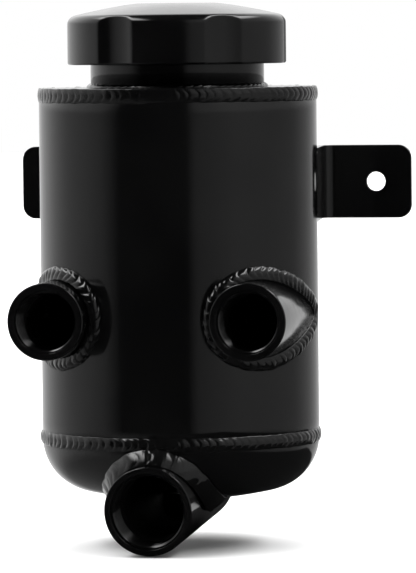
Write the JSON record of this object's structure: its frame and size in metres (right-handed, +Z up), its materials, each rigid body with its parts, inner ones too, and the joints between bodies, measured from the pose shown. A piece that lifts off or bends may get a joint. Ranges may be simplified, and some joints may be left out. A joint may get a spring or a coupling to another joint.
{
  "type": "hydraulic fluid reservoir",
  "caption": "Remote hydraulic fluid reservoir: welded aluminium tank with screw cap, front return ports, bottom outlet and bolt-on bracket ears.",
  "frame": {"origin": "midway between the two bolt holes, on the plane the bracket ears are bolted against", "axes": "+Z up along the tank's axis, -Y to the front where the ports face, +X to the right seen from the front"},
  "size_m": [0.1506, 0.1261, 0.197],
  "materials": {
    "black_shell": "gloss black coating",
    "bare_aluminium": "satin",
    "gasket_rubber": "matte"
  },
  "bodies": {
    "reservoir": {"tank_tube": "black_shell", "top_plate": "black_shell", "bottom_dish": "black_shell", "filler_neck": "black_shell", "right_port": "black_shell", "left_port": "black_shell", "outlet_port": "black_shell", "outlet_end_plate": "black_shell", "right_bracket": "black_shell", "left_bracket": "black_shell", "top_seam_weld": "black_shell", "bottom_seam_weld": "black_shell", "neck_weld": "black_shell", "right_port_weld": "black_shell", "left_port_weld": "black_shell", "outlet_weld": "black_shell", "end_plate_weld": "black_shell", "right_bracket_weld": "black_shell", "left_bracket_weld": "black_shell", "baffle_plate": "bare_aluminium", "baffle_tacks": "bare_aluminium"},
    "seal": {"gasket_plate": "bare_aluminium", "cap_gasket": "gasket_rubber"},
    "cap": {"filler_cap": "black_shell", "plate_rivet": "bare_aluminium"}
  },
  "joints": [
    {"name": "cap_rise", "type": "slide", "parent": "reservoir", "child": "seal", "axis": [0, 0, 1], "range_m": [0, 0.01376]},
    {"name": "cap_turn", "type": "hinge", "parent": "seal", "child": "cap", "pos_m": [0, -0.0675, 0.056], "axis": [0, 0, 1], "range_deg": [0, 990]}
  ],
  "couplings": [
    {"joint": "cap_rise", "follows": "cap_turn", "m_per_rad": 0.00079577}
  ]
}
